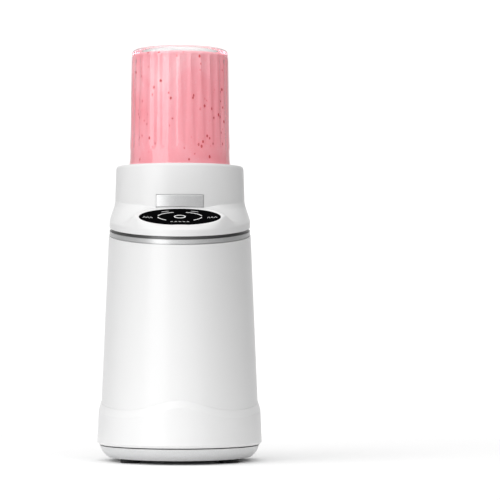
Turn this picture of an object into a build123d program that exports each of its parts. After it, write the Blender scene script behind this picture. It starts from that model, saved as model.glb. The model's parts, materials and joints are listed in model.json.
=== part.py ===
"""Countertop blender with an inverted single-serve cup that locks into a round collar.

The cup, collar, coupling and motor share one vertical axis. Every piece is drawn about that
axis, and save() moves it back so that the origin is under the middle of the whole outline.
Units are millimetres, +Z is up and the control panel faces -Y.
"""

import math
import os

from build123d import *

# ---------------------------------------------------------------- outline of the base
REAR_RADIUS = 75.2            # skirt, half-circle behind the cup axis
FRONT_REACH = 107.0           # skirt, half-ellipse in front of the cup axis
AXIS_Y = (FRONT_REACH - REAR_RADIUS) / 2
WALL = 2.6                    # moulded shells
RIB = 2.4
SEAM_TILT = 7.2               # every ring round the shoulder slopes down to the front
SEAM_SLOPE = math.tan(math.radians(SEAM_TILT))

# Heights above the table; a tilted ring is measured at the cup axis.
FOOT_H = 3.4
SCREW_SEAT = 4.9
PAN_FLOOR = 6.0
COVER_TOP = 13.8
SKIRT_BOTTOM = 14.8
SKIRT_ROUND = 1.8             # chamfer round the lower edge
SKIRT_LEAN = 0.042            # inset per unit of height
SKIRT_TOP = 53.0              # measured at the cup axis; the edge slopes down to the front
SKIRT_TILT = 4.8
SKIRT_BEVEL = (6.5, 1.7)      # height and depth
ARCH_RISE = 12.5
ARCH_HALF_WIDTH = 60.0
SHELL_BOTTOM = 44.0
SHELL_TOP = 205.7
RING_TOP = 213.2
LEDGE_EDGE = 219.0
SEAM_SKIN = 2.9               # depth from the body's outline to the screw bosses' notches
COLLAR_FOOT = 235.0
COLLAR_TOP = 268.4

# Half-width and front reach of the body at its two ends.
BODY_LOW = (SHELL_BOTTOM, 71.75, 103.6)
BODY_HIGH = (240.0, 63.55, 100.6)

# ---------------------------------------------------------------- collar and cup fit
COLLAR_R = 58.7
COLLAR_BORE = 56.0
SOCKET_BORE = 51.9
SOCKET_WALL = 1.2
CHANNEL_R = 54.4
CHANNEL_FLOOR = 247.6
CHANNEL_ROOF = 253.4
SOCKET_FLOOR = 202.0
LUG_COUNT = 4
LUG_HALF = 12.2               # degrees
LUG_R = 53.9
LUG_Z = (248.0, 252.6)
TWIST = 20.0                  # degrees, clockwise from above, locks the cup

CUP_RIM = 228.0
CUP_TOP = 376.0
NECK_R = 48.7
NECK_WALL = 3.0
CUP_CEILING = 371.2
THREAD_Z = (232.0, 237.0)
FLUTE_COUNT = 28
FLUTE_RADIUS = 13.0
FLUTE_DEPTH = 0.75
FLUTE_Z = (287.0, 365.0)
FLUTE_WALL = (45.6, 44.4)     # radius of the wall at the two ends of a flute

# ---------------------------------------------------------------- release button
BUTTON_HALF = 21.1            # half the width between its parallel sides
BUTTON_Z = (228.6, 239.8)
BUTTON_GAP = 0.3
BUTTON_FACE_R = COLLAR_R + 1.1
BUTTON_BACK_R = 55.2
BUTTON_FLANGE = 1.6           # how far the flange reaches behind the collar's wall

# ---------------------------------------------------------------- panel on the ledge
PANEL_SLOPE = 27.5
PANEL_SIZE = (73.0, 34.5)
PANEL_CENTRE = (0.0, -76.2, 218.8)
PANEL_SEAT = -1.8             # depth of the lens's seat below the panel's plane
PAD_MARGIN = 2.2

# ---------------------------------------------------------------- interlock
PLUNGER_R = 47.5              # distance behind the cup axis
PLUNGER_TOP = 214.6

# ---------------------------------------------------------------- screws, feet, board and cord inlet
BASE_BOSSES = [(-56.0, 26.0), (56.0, 26.0), (-48.0, -52.0), (48.0, -52.0)]
TOP_BOSSES = [(-45.2, 37.9), (45.2, 37.9), (-35.0, -74.0), (35.0, -74.0)]
FEET = [(-42.0, 34.0), (42.0, 34.0), (-44.0, -52.0), (44.0, -52.0)]
FOOT_R = 9.0
BOARD_POSTS = [-25.0, 25.0]
BOARD_Y = (-84.0, -82.4)
BOARD_SCREW_Z = 60.0
GLAND_Z = 30.0
INLET_R = 3.6

# ---------------------------------------------------------------- drive line
SHAFT_R = 4.0
RUNNING = 0.06
STACK = (104.0, 136.0)        # stator and rotor laminations
STATOR_BORE = 20.6
ROTOR_R = 20.0
MOTOR_POSTS = [(sx * 31.5, sy * 26.0) for sx in (-1, 1) for sy in (-1, 1)]
MOUNT_POSTS = [(sx * 42.0, sy * 27.0) for sx in (-1, 1) for sy in (-1, 1)]
SPINDLE_R = 3.5
SLEEVE_R = 8.95
TOOTH_COUNT = 6
FAN_BLADES = 11
ROTOR_SLOTS = 12
COMMUTATOR_BARS = 24


def disc(radius, low, high, x=0.0, y=0.0):
    """Upright cylinder between two heights."""
    return Pos(x, y, (low + high) / 2) * Cylinder(radius, high - low)


def tube(outer, inner, low, high, x=0.0, y=0.0):
    """Upright tube between two heights."""
    return disc(outer, low, high, x, y) - disc(inner, low - 1, high + 1, x, y)


def block(x_range, y_range, z_range):
    """Box between three pairs of limits."""
    size = [b - a for a, b in (x_range, y_range, z_range)]
    middle = [(a + b) / 2 for a, b in (x_range, y_range, z_range)]
    return Pos(*middle) * Box(*size)


def turned(points):
    """Solid turned about Z from a closed outline of (radius, height) points."""
    face = make_face(Polyline(*[(r, 0, z) for r, z in points], close=True))
    return revolve(face, Axis.Z, 360)


def sector(inner, outer, start, end, low, high):
    """Slice of an upright ring between two angles."""
    mid_r = 2 * outer
    steps = 4
    angles = [math.radians(start + (end - start) * i / steps) for i in range(steps + 1)]
    fan = [(0, 0)] + [(mid_r * math.cos(a), mid_r * math.sin(a)) for a in angles]
    wedge = Pos(0, 0, low - 1) * extrude(make_face(Polyline(*fan, close=True)), high - low + 2)
    return tube(outer, inner, low, high) & wedge


def outline(half_width, front, rear=None):
    """Plan outline: half-ellipse to the front, half-ellipse or half-circle to the rear."""
    rear = half_width if rear is None else rear
    back = EllipticalCenterArc((0, 0), half_width, rear, start_angle=0, arc_size=180)
    nose = EllipticalCenterArc((0, 0), half_width, front, start_angle=180, arc_size=180)
    return make_face([back, nose])


def level(height):
    """Horizontal plane."""
    return Plane(origin=(0, 0, height))


def tilted(height):
    """Plane of a shoulder ring, sloping down to the front."""
    angle = math.radians(SEAM_TILT)
    normal = (0, -math.sin(angle), math.cos(angle))
    return Plane(origin=(0, 0, height), x_dir=(1, 0, 0), z_dir=normal)


def stack(sections):
    """Straight-sided loft through (plane, half_width, front) sections."""
    faces = [plane * outline(*size) for plane, *size in sections]
    solids = [loft([low, high], ruled=True) for low, high in zip(faces, faces[1:])]
    whole = solids[0]
    for solid in solids[1:]:
        whole = whole + solid
    return whole


def body_size(height, inset=0.0):
    """Half-width and front reach of the body at a height, less an inset."""
    share = (height - BODY_LOW[0]) / (BODY_HIGH[0] - BODY_LOW[0])
    half = BODY_LOW[1] + share * (BODY_HIGH[1] - BODY_LOW[1])
    front = BODY_LOW[2] + share * (BODY_HIGH[2] - BODY_LOW[2])
    return half - inset, front - inset


def body_block(low, high, inset=0.0):
    """The body's tapered solid between two heights."""
    return stack([(level(z), *body_size(z, inset)) for z in (low, high)])


def above(height):
    """Everything above a shoulder plane."""
    return extrude(tilted(height) * Rectangle(400, 400), 200)


def screw(x, y, low, high, shank, head, head_height):
    """Pan-head screw with its head below, driven upwards, with a cross recess."""
    body = disc(shank, low, high, x, y) + disc(head, low - head_height, low, x, y)
    for across in ((1.8, 0.4), (0.4, 1.8)):
        body -= block(
            (x - across[0], x + across[0]),
            (y - across[1], y + across[1]),
            (low - head_height - 1, low - head_height * 0.4),
        )
    return body


def coil(radius, wire, low, high, turns, x=0.0, y=0.0):
    """Helical compression spring."""
    pitch = (high - low) / turns
    path = Pos(x, y, low) * Helix(pitch, high - low, radius)
    start = path @ 0
    plane = Plane(origin=start, z_dir=path % 0)
    return sweep(plane * Circle(wire), path=path)


# ---------------------------------------------------------------- base shells
def boss_with_rib(x, y, radius, low, high, rib_low):
    """Screw boss with a rib that ties it to the wall outside it."""
    turn = math.degrees(math.atan2(y, x))
    rib = Pos(x, y, 0) * Rot(0, 0, turn) * block((0, 40), (-RIB / 2, RIB / 2), (rib_low, high))
    return disc(radius, low, high, x, y) + rib


def main_housing():
    """Tall white shell with bosses for the screws of the base and of the shoulder."""
    shell = body_block(SHELL_BOTTOM, 226) - body_block(SHELL_BOTTOM - 2, 228, WALL)
    inside = body_block(SHELL_BOTTOM, 226, WALL / 2)
    inside += level(PAN_FLOOR) * extrude(outline(63.6, 93.8), SHELL_BOTTOM - PAN_FLOOR)
    for x, y in BASE_BOSSES:
        shell += boss_with_rib(x, y, 4.4, PAN_FLOOR, 92, 30) & inside
    for x, y in TOP_BOSSES:
        shell += boss_with_rib(x, y, 3.4, 160, 220, 160) & inside
    for x, y in BASE_BOSSES:
        shell -= disc(1.6, 5, 31, x, y)
    for x, y in TOP_BOSSES:
        shell -= disc(1.4, 150, 230, x, y)
        shell -= disc(2.8, 150, 172, x, y)
    return shell - above(SHELL_TOP)


def arch_cut():
    """Space above the skirt's sloping upper edge, which rises in an arch across the front."""
    left, right = (-ARCH_HALF_WIDTH, 0), (ARCH_HALF_WIDTH, 0)
    crown = Spline(left, (0, ARCH_RISE), right, tangents=[(1, 0), (1, 0)])
    edge = [
        Line((-120, 0), left), crown, Line(right, (120, 0)),
        Line((120, 0), (120, 60)), Line((120, 60), (-120, 60)), Line((-120, 60), (-120, 0)),
    ]
    cutter = extrude(Plane.XZ * make_face(edge), 150) + block((-120, 120), (0, 120), (0, 60))
    return Pos(0, 0, SKIRT_TOP) * Rot(SKIRT_TILT, 0, 0) * cutter


def skirt_outer(low, high):
    """Outer solid of the skirt between two heights."""
    sections = []
    for z in (low, high):
        inset = SKIRT_LEAN * (z - SKIRT_BOTTOM)
        sections.append((level(z), REAR_RADIUS - inset, FRONT_REACH - inset))
    return stack(sections)


def base_skirt():
    """White skirt round the foot of the body, with a bevelled and arched upper edge."""
    solid = skirt_outer(SKIRT_BOTTOM, 75) - arch_cut()
    rear_face = solid.faces().filter_by(GeomType.BSPLINE).sort_by(Axis.Y)[-1]
    rear_edge = rear_face.edges().filter_by(GeomType.BSPLINE).sort_by(Axis.Z)[-1]
    solid = chamfer([rear_edge], *SKIRT_BEVEL, reference=rear_face)
    solid &= stack([
        (level(z), REAR_RADIUS + out, FRONT_REACH + out)
        for z, out in ((SKIRT_BOTTOM, -SKIRT_ROUND), (SKIRT_BOTTOM + 70, 70 * 0.8 - SKIRT_ROUND))
    ])
    solid -= body_block(SKIRT_BOTTOM - 1, 80, -0.1)
    return solid - Pos(0, 70, GLAND_Z) * Rot(90, 0, 0) * Cylinder(7.6, 20)


def bottom_cover():
    """Grey pan that closes the base, with air slots, motor posts and board posts."""
    sizes = [(FOOT_H, 65.4, 96.0), (PAN_FLOOR, 68.4, 99.4), (9.4, 71.0, 102.4), (COVER_TOP, 72.6, 104.2)]
    pan = loft([level(z) * outline(half, front) for z, half, front in sizes])
    pan -= stack([(level(PAN_FLOOR), 64.2, 94.6), (level(COVER_TOP + 1), 70.4, 102.0)])
    for x, y in MOUNT_POSTS:
        pan += disc(5.0, 5.0, 78.0, x, y)
    for x in BOARD_POSTS:
        pan += block((x - 4, x + 4), (BOARD_Y[1], BOARD_Y[1] + 6), (5.0, 66.0))
        pan -= Pos(x, BOARD_Y[1] + 2, BOARD_SCREW_Z) * Rot(90, 0, 0) * Cylinder(1.3, 6)
    for row in range(-3, 4):
        length = 52.0 - 4.0 * abs(row)
        slot = SlotOverall(length, 3.0)
        pan -= extrude(Pos(0, row * 7.0, 2) * slot, 5)
    for x, y in BASE_BOSSES:
        pan -= disc(1.7, 2, 8, x, y)
        pan -= disc(3.9, 2, SCREW_SEAT, x, y)
    return pan


def rubber_feet():
    """Four round feet pressed against the cover."""
    feet = []
    for x, y in FEET:
        foot = disc(FOOT_R, 0, FOOT_H, x, y)
        feet.append(chamfer(foot.edges().sort_by(Axis.Z)[:1], 0.8))
    return feet


def base_screws():
    """Four screws from below into the housing bosses."""
    return [screw(x, y, SCREW_SEAT, 28, 1.6, 3.5, 1.3) for x, y in BASE_BOSSES]


def housing_screws():
    """Four screws that hold the top housing down on the main housing."""
    return [screw(x, y, 172, 214, 1.4, 2.6, 1.6) for x, y in TOP_BOSSES]


def accent_ring():
    """Grey ring between body and shoulder, recessed above and below a proud middle band."""
    bands = [(SHELL_TOP, 206.5, 1.9), (206.5, 210.2, 0.7), (210.2, RING_TOP, 2.2)]
    ring = None
    for low, high, inset in bands:
        half, front = body_size(low, inset)
        band = stack([(tilted(z), half, front) for z in (low, high)])
        ring = band if ring is None else ring + band
    half, front = body_size(RING_TOP, 6.2)
    ring -= stack([(tilted(z), half, front) for z in (SHELL_TOP - 3, RING_TOP + 3)])
    behind_skin = body_block(195, 226, SEAM_SKIN)
    for x, y in TOP_BOSSES:
        ring -= disc(4.2, 190, 230, x, y) & behind_skin
    return ring


# ---------------------------------------------------------------- shoulder and collar
def panel_plane(lift=0.0):
    """Plane of the control panel's face, raised along its own normal."""
    angle = math.radians(PANEL_SLOPE)
    normal = Vector(0, -math.sin(angle), math.cos(angle))
    origin = Vector(*PANEL_CENTRE) + normal * lift
    return Plane(origin=origin, x_dir=(1, 0, 0), z_dir=normal)


def oval(lift, margin, thickness):
    """Flat oval slab in the panel's plane, its underside raised by lift."""
    a, b = PANEL_SIZE[0] / 2 + margin, PANEL_SIZE[1] / 2 + margin
    return extrude(panel_plane(lift) * Ellipse(a, b), thickness)


def button_window(extra):
    """Straight-sided window through the collar's front, grown by a margin on every side."""
    half = BUTTON_HALF + extra
    return block((-half, half), (-75, -45), (BUTTON_Z[0] - extra, BUTTON_Z[1] + extra))


def shoulder_pad():
    """Swelling of the shoulder under the panel, flat on top and sloping away all round."""
    steps = [(-12.0, 13.5, 8.5), (-1.2, 4.2, 4.0), (0.2, PAD_MARGIN, PAD_MARGIN)]
    ovals = [
        panel_plane(lift) * Ellipse(PANEL_SIZE[0] / 2 + wider, PANEL_SIZE[1] / 2 + longer)
        for lift, wider, longer in steps
    ]
    slope = loft(ovals[:2], ruled=True)
    crown = loft(ovals[1:], ruled=True)
    limit = [(tilted(z), *body_size(z, 0.6)) for z in (RING_TOP + 1, 250)]
    return (slope + crown) & stack(limit)


def shoulder_cone(low, high, inset, top_radius):
    """Skin that leans in from the shoulder's edge until it is well inside the collar."""
    rise = COLLAR_FOOT - LEDGE_EDGE
    run_half = body_size(LEDGE_EDGE, inset)[0] - top_radius
    run_front = body_size(LEDGE_EDGE, inset)[1] - top_radius
    sections = []
    for z in (low, high):
        share = (z - low) / rise
        half = body_size(LEDGE_EDGE, inset)[0] - run_half * share
        front = body_size(LEDGE_EDGE, inset)[1] - run_front * share
        sections.append((tilted(z), half, front))
    return stack(sections)


def top_housing():
    """White shoulder and collar in one moulding, with the pad that carries the panel."""
    lip = [(tilted(z), *body_size(LEDGE_EDGE)) for z in (RING_TOP, LEDGE_EDGE)]
    collar = turned([
        (0, 205), (COLLAR_R + 0.5, 205), (COLLAR_R + 0.3, 243), (COLLAR_R - 0.2, COLLAR_TOP - 3.2),
        (COLLAR_R - 0.9, COLLAR_TOP - 1.1), (COLLAR_R - 2.3, COLLAR_TOP), (0, COLLAR_TOP),
    ])
    solid = stack(lip) + shoulder_cone(LEDGE_EDGE, COLLAR_FOOT + 6, 0.0, COLLAR_R + 0.9)
    solid += shoulder_pad() + (collar & above(RING_TOP))
    under = LEDGE_EDGE - 1.5
    hollow = stack([(tilted(z), *body_size(LEDGE_EDGE, WALL)) for z in (RING_TOP - 1, under)])
    hollow += shoulder_cone(under, COLLAR_FOOT + 4, WALL, COLLAR_R - 1.7)
    stems = body_block(195, 226, SEAM_SKIN + 0.3) & above(SHELL_TOP)
    boss_limit = solid + (stems - above(LEDGE_EDGE - 1))
    body = solid - hollow
    for x, y in TOP_BOSSES:
        body += disc(3.8, 190, 226, x, y) & boss_limit
    body -= disc(COLLAR_BORE, 190, 280)
    for x, y in TOP_BOSSES:
        body -= disc(1.4, 190, 214.5, x, y)
    body -= button_window(BUTTON_GAP)
    body -= oval(PANEL_SEAT, 0.1, 20)
    return body - oval(-30, -4.0, 40)


def touch_panel():
    """Black glossy lens in the pad."""
    lens = oval(PANEL_SEAT, 0.0, 2.1)
    return fillet(lens.edges().sort_by(Axis.Z)[-1:], 0.4)


def touch_board():
    """Sensor board glued behind the lens, with its connector."""
    board = oval(-3.6, -4.6, 1.7)
    return board + extrude(panel_plane(-8.6) * Rectangle(16, 6), 5.1)


def cup_socket():
    """Well inside the collar: bore, four entry slots, locking channel and floor."""
    thin = SOCKET_BORE + SOCKET_WALL
    wall = turned([
        (0, SOCKET_FLOOR - 2.5), (thin, SOCKET_FLOOR - 2.5), (thin, 243.0), (COLLAR_BORE, 245.6),
        (COLLAR_BORE, COLLAR_TOP - 0.9), (COLLAR_BORE - 0.7, COLLAR_TOP), (SOCKET_BORE + 0.9, COLLAR_TOP),
        (SOCKET_BORE, COLLAR_TOP - 0.9), (SOCKET_BORE, SOCKET_FLOOR), (0, SOCKET_FLOOR),
    ])
    for i in range(LUG_COUNT):
        centre = 360 * i / LUG_COUNT
        start, end = centre - LUG_HALF - 1.2, centre + LUG_HALF + 1.2
        wall -= sector(SOCKET_BORE - 2, CHANNEL_R, start, end, CHANNEL_FLOOR, COLLAR_TOP + 1)
        wall -= sector(SOCKET_BORE - 2, CHANNEL_R, start - TWIST, end, CHANNEL_FLOOR, CHANNEL_ROOF)
    wall += tube(22, 16, 186, SOCKET_FLOOR - 2.0)
    wall += tube(15, 9.5, SOCKET_FLOOR - 1, SOCKET_FLOOR + 1.2)
    wall -= disc(9.5, 190, 210)
    wall -= disc(2.6, 190, 210, 0, PLUNGER_R)
    wall += tube(4.6, 2.6, SOCKET_FLOOR - 7, SOCKET_FLOOR - 2.4, 0, PLUNGER_R)
    return wall


def release_button():
    """Grey curved button in the collar's front, with a retaining flange behind the wall."""
    face = tube(BUTTON_FACE_R, BUTTON_BACK_R, *BUTTON_Z) & button_window(0.0)
    arcs = face.edges().filter_by(GeomType.CIRCLE)
    face = fillet([edge for edge in arcs if edge.radius > COLLAR_R], 0.8)
    low, high = BUTTON_Z
    flange = tube(BUTTON_BACK_R + 0.6, BUTTON_BACK_R - 0.1, low - BUTTON_FLANGE, high + BUTTON_FLANGE)
    return face + (flange & button_window(BUTTON_FLANGE))


def release_spring():
    """Bowed leaf spring between the socket wall and the button."""
    bow = ThreePointArc((-12, -52.6), (0, -55.0), (12, -52.6))
    inner = ThreePointArc((-12, -52.3), (0, -54.7), (12, -52.3))
    ends = [Line((-12, -52.6), (-12, -52.3)), Line((12, -52.6), (12, -52.3))]
    return extrude(level(231) * make_face([bow, inner, *ends]), 6)


# ---------------------------------------------------------------- interlock
def interlock_plunger():
    """Pin that the cup's cam ribs press down as the cup locks."""
    pin = disc(2.5, 194.0, PLUNGER_TOP, 0, PLUNGER_R)
    pin = fillet(pin.edges().sort_by(Axis.Z)[-1:], 1.6)
    return pin + disc(3.6, 187.6, 194.0, 0, PLUNGER_R)


def interlock_spring():
    """Spring that returns the plunger, between its shoulder and the switch bracket."""
    return coil(2.6, 0.3, 181.6, 187.2, 4, 0, PLUNGER_R)


def interlock_switch():
    """Snap-action switch under the plunger, on its own bracket."""
    case = block((-10, 10), (PLUNGER_R - 3.2, PLUNGER_R + 3.2), (166, 177))
    for x in (-7, 0, 7):
        case += block((x - 1.6, x + 1.6), (PLUNGER_R - 0.4, PLUNGER_R + 0.4), (160, 166))
    for x in (-5, 5):
        case -= Pos(x, PLUNGER_R, 169) * Rot(90, 0, 0) * Cylinder(1.3, 10)
    return case + block((-9, 9), (PLUNGER_R - 3.2, PLUNGER_R + 3.2), (177, 181.2))


def switch_bracket():
    """Arm that carries the switch below the socket floor."""
    top = SOCKET_FLOOR - 2.5
    arm = block((-14, -10.2), (PLUNGER_R - 5, PLUNGER_R + 3), (166, top))
    arm += block((10.2, 14), (PLUNGER_R - 5, PLUNGER_R + 3), (166, top))
    return arm + block((-14, 14), (PLUNGER_R - 5, PLUNGER_R - 3.4), (166, 183.5))


# ---------------------------------------------------------------- motor
def stator_core():
    """Laminated stator with four winding windows and four screw holes."""
    core = extrude(level(STACK[0]) * RectangleRounded(80, 68, 9), STACK[1] - STACK[0])
    core -= disc(STATOR_BORE, 90, 150)
    for centre in (29, 151, 209, 331):
        core -= sector(STATOR_BORE + 1.6, 30.4, centre - 11, centre + 11, 90, 150)
    for x, y in MOTOR_POSTS:
        core -= disc(2.1, 90, 150, x, y)
    return core


def field_windings():
    """Two field coils, each two legs through the stack joined by end turns."""
    coils = []
    for side in (90, 270):
        legs = [sector(22.6, 30.0, side + turn - 9, side + turn + 9, 98, 142) for turn in (-61, 61)]
        ends = [sector(22.6, 31.5, side - 70, side + 70, *z) for z in ((93, 103), (137, 147))]
        coils.append(legs[0] + legs[1] + ends[0] + ends[1])
    return coils


def bracket_posts(low, high, hole_low, hole_high):
    """Posts and holes for the four long screws."""
    posts = [disc(4.2, low, high, x, y) for x, y in MOTOR_POSTS]
    holes = [disc(2.1, hole_low, hole_high, x, y) for x, y in MOTOR_POSTS]
    return posts, holes


def upper_bracket():
    """Bracket above the stator that holds the upper bush and the brush holders."""
    plate = extrude(level(165) * RectangleRounded(74, 64, 8), 4)
    plate += disc(13, 165, 174) + disc(24, 174, 178)
    posts, holes = bracket_posts(STACK[1], 165, 130, 172)
    for post in posts:
        plate += post
    for hole in holes:
        plate -= hole
    for centre in (0, 90, 180, 270):
        plate -= sector(16, 26, centre - 28, centre + 28, 160, 172)
    return plate - disc(8, 160, 180)


def lower_bracket():
    """Bracket below the stator, with ears over the rubber mounts."""
    plate = extrude(level(84) * RectangleRounded(98, 68, 8), 4)
    plate += disc(13, 74, 84)
    posts, holes = bracket_posts(88, STACK[0], 76, 110)
    for post in posts:
        plate += post
    for hole in holes:
        plate -= hole
    for centre in (0, 90, 180, 270):
        plate -= sector(16, 27, centre - 30, centre + 30, 80, 92)
    return plate - disc(8, 70, 92)


def bush(low):
    """Sintered bush with a running fit on the shaft."""
    return tube(8, SHAFT_R + RUNNING, low, low + 9)


def upper_bush():
    """Bush in the upper bracket."""
    return bush(166)


def lower_bush():
    """Bush in the lower bracket."""
    return bush(76)


def motor_screws():
    """Long screws that clamp both brackets to the stator."""
    return [screw(x, y, 84, 169, 1.9, 3.6, 2.2) for x, y in MOTOR_POSTS]


def lower_mounts():
    """Rubber mounts between the cover's posts and the lower bracket."""
    return [tube(6.4, 2.2, 78, 84, x, y) for x, y in MOUNT_POSTS]


def upper_mount():
    """Rubber ring between the upper bracket and the socket."""
    return tube(23, 15, 178, 186)


def shaft_seal():
    """Rubber ring that keeps spilt liquid out of the motor."""
    return turned([(SHAFT_R + RUNNING, 197), (9.5, 197), (9.5, 203.2), (7.5, 203.2), (7.5, 199.4),
                   (SHAFT_R + RUNNING, 199.4)])


def motor_shaft():
    """Steel shaft from the fan to the coupling."""
    shaft = disc(SHAFT_R, 52, 208.6)
    return chamfer(shaft.edges().group_by(Axis.Z)[0] + shaft.edges().group_by(Axis.Z)[-1], 0.6)


def slots(count, inner, outer, width, low, high):
    """Ring of radial slots, as boxes."""
    bar = block((inner, outer), (-width / 2, width / 2), (low, high))
    bars = bar
    for i in range(1, count):
        bars = bars + Rot(0, 0, 360 * i / count) * bar
    return bars


def rotor_core():
    """Laminated rotor with twelve winding slots."""
    core = tube(ROTOR_R, SHAFT_R, *STACK)
    core -= slots(ROTOR_SLOTS, 10.5, 19.0, 4.0, 90, 150)
    return core - slots(ROTOR_SLOTS, 18.5, 22, 1.6, 90, 150)


def rotor_windings():
    """Copper in the rotor slots with domed end turns."""
    ends = tube(18.0, SHAFT_R, STACK[0] - 7, STACK[0]) + tube(18.0, SHAFT_R, STACK[1], STACK[1] + 7)
    return ends + slots(ROTOR_SLOTS, 10.6, 18.9, 3.8, STACK[0] - 1, STACK[1] + 1)


def commutator():
    """Copper commutator with narrow gaps between its bars."""
    return tube(11, SHAFT_R, 146, 161) - slots(COMMUTATOR_BARS, 10.0, 12, 0.5, 148, 162)


def cooling_fan():
    """Radial fan under the lower bracket."""
    fan = tube(38, 14, 56, 57.6) + tube(7.5, SHAFT_R, 56, 70) + tube(15, 7.4, 56, 60)
    blade = Pos(26, 0, 0) * Rot(0, 0, 24) * block((-11, 11), (-0.7, 0.7), (57, 69))
    for i in range(FAN_BLADES):
        fan += Rot(0, 0, 360 * i / FAN_BLADES) * blade
    return fan


def brush_holders():
    """Two brass boxes that guide the brushes."""
    holders = []
    for side in (-1, 1):
        box = block((13, 40), (-5.2, 5.2), (147.5, 160.5)) - block((10, 38.5), (-3.2, 3.2), (149, 159))
        strut = block((30, 36), (-5.2, 5.2), (160.5, 165))
        holders.append(Rot(0, 0, 0 if side > 0 else 180) * (box + strut))
    return holders


def carbon_brushes():
    """Two carbon brushes against the commutator."""
    return [Rot(0, 0, turn) * block((11.1, 27), (-3.1, 3.1), (149.1, 158.9)) for turn in (0, 180)]


def brush_springs():
    """Two springs that press the brushes inwards."""
    spring = coil(2.2, 0.3, 0.4, 11.0, 6)
    laid = Pos(27, 0, 154) * Rot(0, 90, 0) * spring
    return [Rot(0, 0, turn) * laid for turn in (0, 180)]


# ---------------------------------------------------------------- electronics
def control_board():
    """Power board upright in front of the motor."""
    board = block((-32, 32), BOARD_Y, (52, 138))
    for x in BOARD_POSTS:
        board -= Pos(x, BOARD_Y[0], BOARD_SCREW_Z) * Rot(90, 0, 0) * Cylinder(1.5, 10)
    return board


def on_board(x_range, z_range, depth):
    """Component box on the motor side of the board."""
    return block(x_range, (BOARD_Y[1], BOARD_Y[1] + depth), z_range)


def power_relay():
    """Relay."""
    return fillet(on_board((-26, -7), (112, 128), 15).edges().filter_by(Axis.Y), 1.0)


def filter_capacitor():
    """Mains filter capacitor."""
    return fillet(on_board((0, 26), (110, 127), 10).edges().filter_by(Axis.Y), 1.0)


def board_transformer():
    """Small transformer for the low-voltage supply."""
    core = on_board((-27, -3), (78, 100), 18)
    bobbin = on_board((-23, -7), (75, 103), 16)
    return core + bobbin


def heat_sink():
    """Finned heat sink of the power switch."""
    sink = on_board((3, 29), (78, 81), 20)
    for i in range(6):
        sink += on_board((3 + i * 4.9, 4.5 + i * 4.9), (80, 98), 20)
    return sink


def power_switch():
    """Power semiconductor on the heat sink."""
    return on_board((11, 21), (73.4, 78), 14)


def board_screws():
    """Two screws through the power board."""
    screws = []
    for x in BOARD_POSTS:
        middle = (BOARD_Y[0] + BOARD_Y[1] + 4) / 2
        shank = Pos(x, middle, BOARD_SCREW_Z) * Rot(90, 0, 0) * Cylinder(1.3, 5.6)
        head = Pos(x, BOARD_Y[0] - 0.9, BOARD_SCREW_Z) * Rot(90, 0, 0) * Cylinder(2.6, 1.8)
        screws.append(shank + head)
    return screws


def cord_gland():
    """Rubber inlet in the rear of the skirt."""
    flange = Pos(0, 70.4, GLAND_Z) * Rot(90, 0, 0) * Cylinder(10, 2)
    neck = Pos(0, 72.5, GLAND_Z) * Rot(90, 0, 0) * Cylinder(7.5, 4.4)
    return flange + neck - Pos(0, 70, GLAND_Z) * Rot(90, 0, 0) * Cylinder(INLET_R, 30)


# ---------------------------------------------------------------- cup unit
def flute_cutter():
    """Long round-ended bar that leans with the cup's wall."""
    low, high = FLUTE_Z
    length = high - low
    lean = math.degrees(math.atan2(FLUTE_WALL[0] - FLUTE_WALL[1], length))
    bar = disc(FLUTE_RADIUS, 0, length) + Sphere(FLUTE_RADIUS) + Pos(0, 0, length) * Sphere(FLUTE_RADIUS)
    return Pos(FLUTE_WALL[0] + FLUTE_RADIUS - FLUTE_DEPTH, 0, low) * Rot(0, -lean, 0) * bar


def cup():
    """Clear cup, upside down, with flutes, lugs and a screw thread at its mouth."""
    inner_neck = NECK_R - NECK_WALL
    outside = turned([
        (0, CUP_RIM), (NECK_R, CUP_RIM), (NECK_R, 257), (48.2, 261), (46.6, 269), (45.9, 275),
        (45.2, 302), (44.4, 367), (44.4, CUP_TOP), (0, CUP_TOP),
    ])
    inside = turned([
        (0, 220), (inner_neck, 220), (inner_neck, 258), (43.4, 271), (42.8, 282), (41.4, CUP_CEILING),
        (0, CUP_CEILING),
    ])
    solid = fillet(outside.edges().filter_by(GeomType.CIRCLE).sort_by(Axis.Z)[-1:], 4.2)
    cutter = flute_cutter()
    for i in range(FLUTE_COUNT):
        solid -= Rot(0, 0, 360 * (i + 0.5) / FLUTE_COUNT) * cutter
    solid -= fillet(inside.edges().filter_by(GeomType.CIRCLE).sort_by(Axis.Z)[-1:], 3.0)
    for i in range(LUG_COUNT):
        centre = 360 * i / LUG_COUNT
        solid += sector(NECK_R - 0.5, LUG_R, centre - LUG_HALF, centre + LUG_HALF, *LUG_Z)
    for z in THREAD_Z:
        ridge = [(-0.5, -1.6), (0.8, -0.4), (0.8, 0.4), (-0.5, 1.6)]
        solid += turned([(NECK_R + out, z + up) for out, up in ridge])
    return solid


def blade_holder():
    """Screw ring and floor that close the cup's mouth, with cam ribs for the interlock."""
    holder = turned([(9, 215), (13, 215), (13, 221), (43.5, 221), (43.5, 215), (51.4, 215), (51.4, 243.4),
                     (49.8, 243.4), (49.8, 225.3), (13.4, 225.3), (12.0, 229), (9, 229)])
    for i in range(LUG_COUNT):
        turn = 90 + 12 + 360 * i / LUG_COUNT
        points = [(-10.2, 215.6), (-8.4, 214.9), (8.4, 211.9), (10.2, 211.9), (10.2, 215.6)]
        cam = extrude(Plane.XZ * make_face(Polyline(*points, close=True)), 6)
        holder += Rot(0, 0, turn - 90) * Pos(0, 50.4, 0) * mirror(cam, Plane.YZ)
    return holder


def cup_gasket():
    """Flat seal under the cup's rim."""
    return tube(49.4, 44.6, 225.3, CUP_RIM)


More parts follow.
